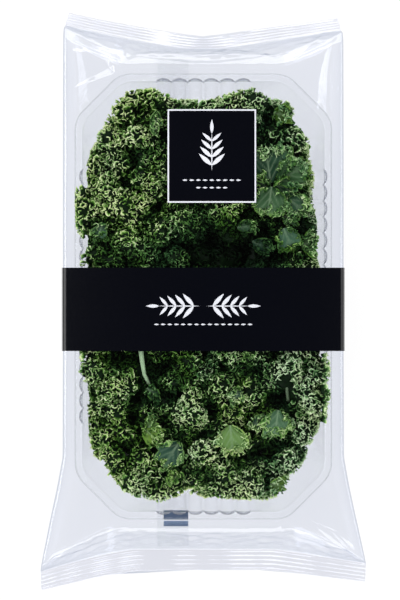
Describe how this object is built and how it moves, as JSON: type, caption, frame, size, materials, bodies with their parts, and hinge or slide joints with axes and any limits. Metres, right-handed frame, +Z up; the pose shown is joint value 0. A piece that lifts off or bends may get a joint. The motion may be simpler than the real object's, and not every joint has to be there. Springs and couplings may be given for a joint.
{
  "type": "packed curly kale bunch",
  "caption": "Bunch of curly kale leaves lying in a clear thermoformed tray, flow-wrapped in clear film with crimped end seals, a plain black band label and a square front label.",
  "frame": {"origin": "on the resting surface, under the middle of the pack's bounding box", "axes": "+Z up out of the filled side, +Y along the pack from the foot seal to the head seal, +X to the right seen from above"},
  "size_m": [0.196, 0.3452, 0.0507],
  "materials": {
    "kale": "matte curled leaf with light edges",
    "tray_plastic": "clear thermoformed sheet",
    "wrap_film": "clear glossy film",
    "label_black": "satin black printed label stock"
  },
  "bodies": {
    "root": {"tray": "tray_plastic", "film_wrap": "wrap_film", "band_label": "label_black", "front_label": "label_black", "kale_leaf_01_head": "kale", "kale_leaf_02_head": "kale", "kale_leaf_03_foot": "kale", "kale_leaf_04_foot": "kale", "kale_leaf_05_head": "kale", "kale_leaf_06_head": "kale", "kale_leaf_07_foot": "kale", "kale_leaf_08_foot": "kale", "kale_leaf_09_head": "kale", "kale_leaf_10_head": "kale", "kale_leaf_11_head": "kale", "kale_leaf_12_foot": "kale", "kale_leaf_13_foot": "kale", "kale_leaf_14_foot": "kale", "kale_leaf_15_head": "kale", "kale_leaf_16_head": "kale", "kale_leaf_17_foot": "kale", "kale_leaf_18_foot": "kale"}
  },
  "joints": []
}
